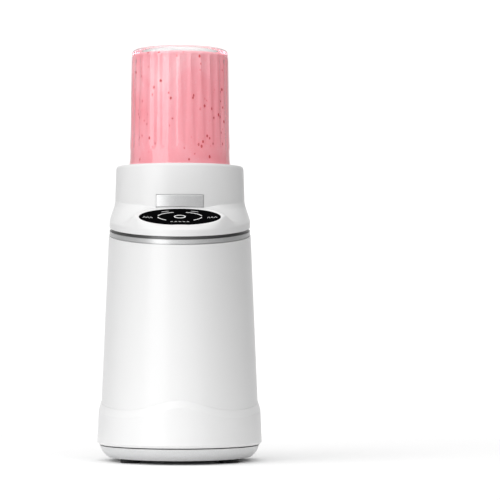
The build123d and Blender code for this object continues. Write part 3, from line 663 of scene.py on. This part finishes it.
def housing_mesh(bm):
    """Shoulder, pad and collar in one smooth moulding, with the button's window."""
    count = HOUSING_SEGMENTS
    angles = [2 * math.pi * k / count for k in range(count)]
    turn = math.asin(WINDOW_HALF / COLLAR_SIZE[0])
    sides = []
    for target in (1.5 * math.pi - turn, 1.5 * math.pi + turn):
        nearest = min(range(count), key=lambda k: abs(angles[k] - target))
        angles[nearest] = target
        sides.append(nearest)
    grid = [[bm.verts.new(AXIS + Vector(point) * MM) for point in housing_rows(a)] for a in angles]
    height = len(grid[0])
    low_row = len(LIP) + SLOPE_STEPS     # row of the window's lower edge outside
    inner_low = height - 4               # and inside; three rows follow it
    for k in range(count):
        n = (k + 1) % count
        in_window = sides[0] <= k < sides[1]
        for row in range(height):
            up = (row + 1) % height
            if in_window and row in (low_row, inner_low - 1):
                continue
            bm.faces.new((grid[k][row], grid[n][row], grid[n][up], grid[k][up]))
        if in_window:
            for outer, inner in ((low_row, inner_low), (low_row + 1, inner_low - 1)):
                bm.faces.new((grid[k][outer], grid[n][outer], grid[n][inner], grid[k][inner]))
    for side in sides:
        column = grid[side]
        bm.faces.new((column[low_row], column[low_row + 1], column[inner_low - 1], column[inner_low]))


# ---------------------------------------------------------------- panel marks, in mm
MARKS_RISE = 1.16                # from the middle of the panel's box to just over its face
MARK_HEIGHT = 0.05
OVAL_SQUEEZE = 0.473             # of the panel's outline
ARC_STEPS = 24


def panel_frame():
    """Origin of the marks, and the panel's sideways, uphill and outward directions."""
    low, high = (Vector(v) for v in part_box("touch_panel"))
    centre = (low + high) / 2
    uphill = Vector((0, math.cos(PANEL_TILT), math.sin(PANEL_TILT)))
    normal = Vector((0, -math.sin(PANEL_TILT), math.cos(PANEL_TILT)))
    return centre + normal * MARKS_RISE * MM, Vector((1, 0, 0)), uphill, normal


def strip(bm, points, width):
    """Raised ribbon along (u, v) points in mm on the panel's face."""
    origin, across, uphill, normal = panel_frame()
    rows = []
    for i, point in enumerate(points):
        before, after = points[max(i - 1, 0)], points[min(i + 1, len(points) - 1)]
        along = Vector((after[0] - before[0], after[1] - before[1])).normalized()
        side = Vector((-along.y, along.x)) * width / 2
        row = []
        for share, level in ((-1, 0), (-0.7, 1), (0.7, 1), (1, 0)):
            u, v = point[0] + side.x * share, point[1] + side.y * share
            row.append(bm.verts.new(origin + (across * u + uphill * v + normal * MARK_HEIGHT * level) * MM))
        rows.append(row)
    sleeve(bm, rows)


def oval_arc(size, start, end, squeeze=OVAL_SQUEEZE):
    """Points along an oval arc between two angles in degrees."""
    angles = [math.radians(start + (end - start) * i / ARC_STEPS) for i in range(ARC_STEPS + 1)]
    return [(size * math.cos(a), size * squeeze * math.sin(a)) for a in angles]


def marks_mesh(bm):
    """Start ring, dial arcs and plain generic symbols."""
    strip(bm, oval_arc(4.8, 0, 360, 0.6), 1.2)
    for start, end in ((8, 74), (106, 172), (188, 232), (308, 352)):
        strip(bm, oval_arc(19.6, start, end), 1.0)
    for start, end in ((52, 68), (112, 128)):
        strip(bm, oval_arc(26.5, start, end), 0.6)
    for side in (-1, 1):
        for step in range(3):
            u, foot = side * (25.5 + 3.1 * step), 0.5 * step - 3.2
            strip(bm, [(u - 1.2, foot), (u, foot + 2.6), (u + 1.2, foot)], 0.55)
    for step in range(5):
        u = 3.6 * step - 7.2
        strip(bm, [(u - 1.1, -10.6), (u + 1.1, -10.6)], 0.7)


# ---------------------------------------------------------------- stage, in metres and degrees
FLOOR_RADIUS = 0.62
FLOOR_Z = -0.0002
FLOOR_SIDES = 96
SEEN_WHITE = 1.1          # strength of the surround as the camera sees it


def make_floor():
    """Round pale floor."""
    bm = bmesh.new()
    angles = [2 * math.pi * k / FLOOR_SIDES for k in range(FLOOR_SIDES)]
    edge = [(FLOOR_RADIUS * math.cos(a), FLOOR_RADIUS * math.sin(a), FLOOR_Z) for a in angles]
    bm.faces.new([bm.verts.new(point) for point in edge])
    mesh = bpy.data.meshes.new("floor")
    bm.to_mesh(mesh)
    bm.free()
    s = Surface("floor")
    s.colour(s.ramp(s.noise(2.0), (0.3, (0.955, 0.955, 0.955)), (0.7, (0.975, 0.975, 0.975))))
    s.rough(s.between(s.noise(8.0), 0.75, 0.85))
    s.set(Specular_IOR_Level=0.2)
    mesh.materials.append(s.material)
    floor = bpy.data.objects.new("floor", mesh)
    bpy.context.collection.objects.link(floor)


def heading(azimuth, elevation):
    """Unit vector; azimuth 0 points from the object to the camera, and 90 to the camera's right."""
    a, e = math.radians(azimuth), math.radians(elevation)
    return Vector((math.sin(a) * math.cos(e), -math.cos(a) * math.cos(e), math.sin(e)))


# Soft lobes of the surround: azimuth, elevation, sharpness, strength.
LOBES = ((-20, 60, 4, 1.3), (0, 90, 3, 0.54), (0, 10, 4, 0.2), (180, 8, 16, 1.0))
KEY_AZIMUTH, KEY_ELEVATION, KEY_DISTANCE = -46, 10, 1.7
KEY_SIZE = (1.17, 0.85)
KEY_RADIANCE = 2.4
KEY_AIM_Z = 0.2


def make_world():
    """White to the camera; to everything else a surround made of soft lobes."""
    world = bpy.data.worlds.new("studio")
    bpy.context.scene.world = world
    world.use_nodes = True
    nodes, links = world.node_tree.nodes, world.node_tree.links
    nodes.clear()

    def math_node(operation, a, b):
        node = nodes.new("ShaderNodeMath")
        node.operation = operation
        for socket, value in zip(node.inputs, (a, b)):
            if isinstance(value, bpy.types.NodeSocket):
                links.new(value, socket)
            else:
                socket.default_value = value
        return node.outputs[0]

    direction = nodes.new("ShaderNodeTexCoord").outputs["Generated"]
    total = None
    for azimuth, elevation, sharpness, strength in LOBES:
        dot = nodes.new("ShaderNodeVectorMath")
        dot.operation = "DOT_PRODUCT"
        dot.inputs[1].default_value = heading(azimuth, elevation)
        links.new(direction, dot.inputs[0])
        near = math_node("MULTIPLY", math_node("ADD", dot.outputs["Value"], 1.0), 0.5)
        lobe = math_node("MULTIPLY", math_node("POWER", near, sharpness), strength)
        total = lobe if total is None else math_node("ADD", total, lobe)
    glow, seen = nodes.new("ShaderNodeBackground"), nodes.new("ShaderNodeBackground")
    for background in (glow, seen):
        background.inputs["Color"].default_value = (1, 1, 1, 1)
    links.new(total, glow.inputs["Strength"])
    seen.inputs["Strength"].default_value = SEEN_WHITE
    choose = nodes.new("ShaderNodeMixShader")
    links.new(nodes.new("ShaderNodeLightPath").outputs["Is Camera Ray"], choose.inputs[0])
    links.new(glow.outputs[0], choose.inputs[1])
    links.new(seen.outputs[0], choose.inputs[2])
    links.new(choose.outputs[0], nodes.new("ShaderNodeOutputWorld").inputs["Surface"])


def make_key():
    """Large soft box at the front left."""
    key = bpy.data.lights.new("key", "AREA")
    key.shape = "RECTANGLE"
    key.size, key.size_y = KEY_SIZE
    key.energy = KEY_RADIANCE * math.pi * KEY_SIZE[0] * KEY_SIZE[1]
    lamp = bpy.data.objects.new("key", key)
    target = AXIS + Vector((0, 0, KEY_AIM_Z))
    lamp.location = target + heading(KEY_AZIMUTH, KEY_ELEVATION) * KEY_DISTANCE
    lamp.rotation_euler = (target - lamp.location).to_track_quat("-Z", "Y").to_euler()
    bpy.context.collection.objects.link(lamp)


EYE_HEIGHT = 0.114
DISTANCE = 2.294
FOCAL, SENSOR = 180.0, 36.0      # mm
YAW = math.radians(1.609)
PITCH = math.radians(1.948)


def make_camera():
    """Long lens, square on to the front, a little above mid-height of the base."""
    data = bpy.data.cameras.new("camera")
    data.lens = FOCAL
    data.sensor_width = SENSOR
    data.clip_end = 50.0
    camera = bpy.data.objects.new("camera", data)
    camera.location = AXIS + Vector((0, -DISTANCE, EYE_HEIGHT))
    camera.rotation_euler = (math.pi / 2 + PITCH, 0, -YAW)
    bpy.context.collection.objects.link(camera)
    bpy.context.scene.camera = camera


def main():
    bpy.context.scene.view_settings.view_transform = "Standard"
    make_camera()
    make_world()
    make_key()
    make_floor()
    made = dress_frame()
    cup = new_piece("cup_wall", cup_mesh, made["clear_cup"], "cup_unit")
    lugs = new_piece("cup_lugs", lug_mesh, made["clear_cup"], "cup_unit", smooth=False)
    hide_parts("cup")
    contents = new_piece("smoothie", smoothie_mesh, smoothie(), "cup_unit")
    housing = new_piece("shoulder_and_collar", housing_mesh, made["white_shell"], "base")
    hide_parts("top_housing")
    coil = new_piece("return_coil", coil_mesh, made["steel"], "base")
    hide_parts("interlock_spring")
    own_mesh(coil)
    marks = new_piece("panel_marks", marks_mesh, made["white_shell"], "base", smooth=False)


main()
